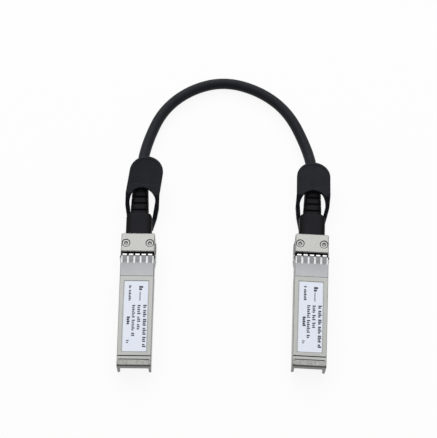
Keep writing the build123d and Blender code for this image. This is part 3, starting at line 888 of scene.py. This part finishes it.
@dataclass
class LabelPrint:
    """Rows of plain bars and one thin rule, printed on a plug's label."""

    rows: tuple[PrintRow, ...]
    rule_x: float = 1.6
    rule_start: float = 31.0
    rule_end: float = 27.2
    rule_width: float = 0.34
    label_top: float = 8.96
    ink: float = 0.012
    word_gap: float = 0.8
    bar_heights: tuple[float, ...] = (1.0, 0.72, 0.88, 0.72, 1.0, 0.66, 0.94)

    def build(self, side: Side, palette: Palette) -> bpy.types.Object:
        """Build a label's print as thin bars that lie on the paper.

        Args:
            side: which plug the label belongs to.
            palette: the shared materials.

        Returns:
            The print's object.
        """
        bm = bmesh.new()
        for row in self.rows:
            self._add_row(bm, row)
        half = self.rule_width / 2
        low = Vector((self.rule_x - half, self.rule_end, self.label_top))
        high = Vector((self.rule_x + half, self.rule_start, self.label_top + self.ink))
        add_slab(bm, low, high)
        place = PLACES[side].matrix_from_mm()
        piece = mesh_object("label_print_" + side.value, bm, place, palette.of(LABEL_INK))
        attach(piece, "root")
        LOG.info("%s built with %d rows", piece.name, len(self.rows))
        return piece

    def _add_row(self, bm: bmesh.types.BMesh, row: PrintRow) -> None:
        """Add one row's bars, whose heights follow a fixed cycle."""
        y = row.start
        count = 0
        foot = row.x - row.height / 2
        for letters in row.words:
            for _ in range(letters):
                top = foot + row.height * self.bar_heights[count % len(self.bar_heights)]
                low = Vector((foot, y - row.stroke, self.label_top))
                high = Vector((top, y, self.label_top + self.ink))
                add_slab(bm, low, high)
                y -= row.pitch
                count += 1
            y -= self.word_gap * row.pitch


LEFT_ROWS = (
    PrintRow(3.75, 25.4, (2, 4, 4, 4, 3, 2), 1.35, 0.78, 0.54),
    PrintRow(1.4, 25.3, (5, 3, 3), 1.25, 0.84, 0.52),
    PrintRow(-0.75, 25.3, (7, 6, 2), 1.2, 0.8, 0.5),
    PrintRow(-2.45, 33.6, (2, 7), 0.95, 0.68, 0.5),
    PrintRow(1.95, 33.4, (2,), 1.6, 1.0, 0.76),
    PrintRow(-2.7, 20.4, (4,), 1.25, 0.86, 0.7),
    PrintRow(-2.75, 10.6, (2,), 1.05, 0.8, 0.4),
)
RIGHT_ROWS = (
    PrintRow(3.75, 25.6, (2, 4, 3, 4, 4, 2), 1.4, 0.78, 0.56),
    PrintRow(1.4, 25.5, (4, 3, 3), 1.3, 0.84, 0.54),
    PrintRow(-0.75, 25.5, (7, 7, 2), 1.25, 0.8, 0.52),
    PrintRow(-2.3, 33.6, (1, 7), 1.0, 0.7, 0.54),
    PrintRow(1.95, 33.4, (2,), 1.65, 1.1, 0.84),
    PrintRow(-2.5, 20.6, (5,), 1.25, 0.82, 0.68),
    PrintRow(-2.6, 10.6, (2,), 1.05, 0.8, 0.4),
)


@dataclass
class ReturnSpring:
    """The flat zigzag spring behind the latch slider; the real one folds as the slider moves back,
    and this piece keeps one shape.
    """

    side: Side
    anchor_y: float = 53.3 * MM
    anchor_z: float = 1.05 * MM
    keep: float = 0.5

    def build(self, nodes: dict[str, bpy.types.Object], palette: Palette) -> bpy.types.Object:
        """Build the spring from a merged copy of its CAD node.

        Args:
            nodes: the CAD nodes by name.
            palette: the shared materials.

        Returns:
            The spring's object.
        """
        node = "return_spring_" + self.side.value
        bm = bmesh.new()
        bm.from_mesh(nodes[node].data)
        bmesh.ops.remove_doubles(bm, verts=bm.verts, dist=SPRING_MERGE_DISTANCE)
        material = palette.of(SPRING_METAL.on(self.side))
        piece = mesh_object("folding_spring_" + self.side.value, bm, Matrix.Identity(4), material)
        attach(piece, "root")
        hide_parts(node)
        anchor = PLACES[self.side].matrix() @ Vector((0.0, self.anchor_y, self.anchor_z))
        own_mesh(piece)
        LOG.info("%s built", piece.name)
        return piece


@dataclass
class MouthLips:
    """The thickened inner faces of the mouth's two side walls, which show as prongs from above.

    Sizes are in millimetres in the plug's frame.
    """

    inner: float = 5.68
    outer: float = 6.1
    front: float = 0.03
    back: float = 9.6
    bottom: float = 0.75
    top: float = 5.72
    round: float = 0.12

    def build(self, side: Side, palette: Palette) -> bpy.types.Object:
        """Build both lips of one plug as bevelled bars that bite into the walls.

        Args:
            side: which plug the lips belong to.
            palette: the shared materials.

        Returns:
            The lips' object.
        """
        bm = bmesh.new()
        for sign in (-1, 1):
            across = sorted((sign * self.inner, sign * self.outer))
            low = Vector((across[0], self.front, self.bottom))
            high = Vector((across[1], self.back, self.top))
            add_slab(bm, low, high)
        bmesh.ops.bevel(
            bm, geom=list(bm.edges), offset=self.round, affect="EDGES", segments=2, profile=0.5,
            material=-1,
        )
        place = PLACES[side].matrix_from_mm()
        piece = mesh_object("mouth_lips_" + side.value, bm, place, palette.of(CAST_METAL.on(side)))
        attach(piece, "root")
        LOG.info("%s built", piece.name)
        return piece


@dataclass
class SolderJoints:
    """Beads of solder where the wire pairs' conductors meet the card, in the plug's frame in mm."""

    bead_radius: float = 0.42
    card_top: float = 3.7
    joint_y: float = 29.6
    pair_spacing: float = 2.1
    conductor_spacing: float = 0.9
    bead_lift: float = 0.25
    bead_stretch: Point = (1.0, 1.7, 0.7)

    def build(self, side: Side, palette: Palette) -> bpy.types.Object:
        """Build one flattened bead over each conductor.

        Args:
            side: which plug the card is in.
            palette: the shared materials.

        Returns:
            The beads' object.
        """
        bm = bmesh.new()
        for pair in (-1, 1):
            for conductor in (-1, 1):
                x = pair * self.pair_spacing / 2 + conductor * self.conductor_spacing / 2
                place = Matrix.Translation((x, self.joint_y, self.card_top + self.bead_lift))
                matrix = place @ Matrix.Diagonal((*self.bead_stretch, 1.0))
                bmesh.ops.create_icosphere(
                    bm, subdivisions=3, radius=self.bead_radius, matrix=matrix
                )
        for face in bm.faces:
            face.smooth = True
        place = PLACES[side].matrix_from_mm()
        piece = mesh_object("solder_joints_" + side.value, bm, place, palette.of(SOLDER))
        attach(piece, "root")
        LOG.info("%s built", piece.name)
        return piece


# Studio


@dataclass(frozen=True)
class SoftBox:
    """One rectangular lamp: its place and size in metres and its power in watts."""

    name: str
    place: Point
    size: tuple[float, float]
    power: float

    def build(self) -> None:
        """Add the lamp, facing the middle of the pair."""
        light = bpy.data.lights.new(self.name, "AREA")
        light.shape = "RECTANGLE"
        light.size, light.size_y = self.size
        light.energy = self.power
        lamp = bpy.data.objects.new(self.name, light)
        bpy.context.scene.collection.objects.link(lamp)
        lamp.location = self.place
        lamp.rotation_euler = (-Vector(self.place)).to_track_quat("-Z", "Y").to_euler()


SOFT_BOXES = (
    SoftBox("back_softbox", (-0.15, 0.75, 0.75), (1.3, 1.3), 6.4),
    SoftBox("top_softbox", (0.05, -0.1, 1.1), (0.9, 0.9), 1.3),
    SoftBox("rim_strip", (0.05, 1.15, 0.62), (1.0, 0.16), 1.6),
)


@dataclass
class Studio:
    """The pale table, the world and the soft lamps.

    The world's light rises along Y, from the front level at front_y to the back level at back_y.
    """

    floor_half: float = 1.5
    floor_drop: float = 0.03 * MM
    floor_white: float = 0.9
    floor_roughness: float = 0.9
    floor_specular: float = 0.1
    backdrop_share: float = 0.9
    front_y: float = -0.9
    back_y: float = 0.7
    front_level: float = 0.22
    back_level: float = 0.8

    def build(self) -> None:
        """Build the table, the world and the lamps."""
        self._floor()
        self._world()
        for box in SOFT_BOXES:
            box.build()
        LOG.info("studio built")

    def _floor(self) -> None:
        """Build the table top: white to the camera and in reflections, with faint shadows."""
        bm = bmesh.new()
        bmesh.ops.create_grid(bm, x_segments=1, y_segments=1, size=self.floor_half)
        material = bpy.data.materials.new("white_table")
        material.use_nodes = True
        wiring = Wiring(material.node_tree)
        shader = material.node_tree.nodes["Principled BSDF"]
        shader.inputs["Base Color"].default_value = (self.floor_white,) * 3 + (1.0,)
        shader.inputs["Roughness"].default_value = self.floor_roughness
        shader.inputs["Specular IOR Level"].default_value = self.floor_specular
        glow = wiring.add("ShaderNodeEmission")
        glow.inputs["Color"].default_value = (1.0, 1.0, 1.0, 1.0)
        blend = wiring.add("ShaderNodeMixShader")
        share = wiring.math("MULTIPLY", self._seen(wiring), self.backdrop_share)
        wiring.join(share, blend.inputs[0])
        wiring.join(shader.outputs[0], blend.inputs[1])
        wiring.join(glow.outputs[0], blend.inputs[2])
        output = material.node_tree.nodes["Material Output"]
        wiring.join(blend.outputs[0], output.inputs["Surface"])
        place = Matrix.Translation((0.0, 0.0, -self.floor_drop))
        floor = mesh_object("table", bm, place, material)

    @staticmethod
    def _seen(wiring: Wiring) -> bpy.types.NodeSocket:
        """Return a socket that is 1 for camera, glossy and transmission rays.

        Args:
            wiring: the tree to add the Light Path node to.

        Returns:
            The combined socket.
        """
        path = wiring.add("ShaderNodeLightPath")
        shown = wiring.math("MAXIMUM", path.outputs["Is Camera Ray"], path.outputs["Is Glossy Ray"])
        return wiring.math("MAXIMUM", shown, path.outputs["Is Transmission Ray"])

    def _world(self) -> None:
        """Build the world: a plain level of light, shown white where it is seen directly."""
        world = bpy.data.worlds.new("studio")
        bpy.context.scene.world = world
        world.use_nodes = True
        wiring = Wiring(world.node_tree)
        backdrop = world.node_tree.nodes["Background"]
        backdrop.inputs["Color"].default_value = (1.0, 1.0, 1.0, 1.0)
        direction = wiring.add("ShaderNodeTexCoord")
        parts = wiring.add("ShaderNodeSeparateXYZ")
        wiring.join(direction.outputs["Generated"], parts.inputs[0])
        level = wiring.add("ShaderNodeMapRange")
        level.inputs["From Min"].default_value = self.front_y
        level.inputs["From Max"].default_value = self.back_y
        level.inputs["To Min"].default_value = self.front_level
        level.inputs["To Max"].default_value = self.back_level
        wiring.join(parts.outputs["Y"], level.inputs["Value"])
        path = wiring.add("ShaderNodeLightPath")
        shown = wiring.math("MAXIMUM", level.outputs[0], path.outputs["Is Camera Ray"])
        wiring.join(shown, backdrop.inputs["Strength"])


@dataclass
class PhotoCamera:
    """The camera at the photograph's place, fitted to both plugs' edges."""

    location: Vector = field(default_factory=lambda: Vector((-3.31, -189.2, 475.05)) * MM)
    tilt: float = radians(24.0)
    roll: float = radians(1.857)
    lens: float = 101.77

    def build(self) -> None:
        """Create the scene's camera."""
        data = bpy.data.cameras.new("photo_camera")
        data.lens = self.lens
        data.sensor_width = 36.0
        data.clip_start = 0.01
        data.clip_end = 20.0
        camera = bpy.data.objects.new("photo_camera", data)
        bpy.context.scene.collection.objects.link(camera)
        across = Vector((1.0, 0.0, 0.0))
        upward = Vector((0.0, cos(self.tilt), sin(self.tilt)))
        right = across * cos(self.roll) + upward * sin(self.roll)
        top = upward * cos(self.roll) - across * sin(self.roll)
        back = right.cross(top)
        turn = Matrix((right, top, back)).transposed().to_4x4()
        camera.matrix_world = Matrix.Translation(self.location) @ turn
        bpy.context.scene.camera = camera
        LOG.info("camera set")


def main() -> None:
    """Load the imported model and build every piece."""
    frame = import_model()
    palette = Palette()
    CarriedNodes(frame["nodes"], palette).dress()
    PhotoCamera().build()
    Cable().build(palette)
    for side, rows in ((Side.LEFT, LEFT_ROWS), (Side.RIGHT, RIGHT_ROWS)):
        LabelPrint(rows).build(side, palette)
        ReturnSpring(side).build(frame["nodes"], palette)
        MouthLips().build(side, palette)
        SolderJoints().build(side, palette)
    Studio().build()
    bpy.context.scene.view_settings.view_transform = "Standard"


if __name__ == "__main__":
    logging.basicConfig(level=logging.INFO, format="%(name)s: %(message)s")
    main()
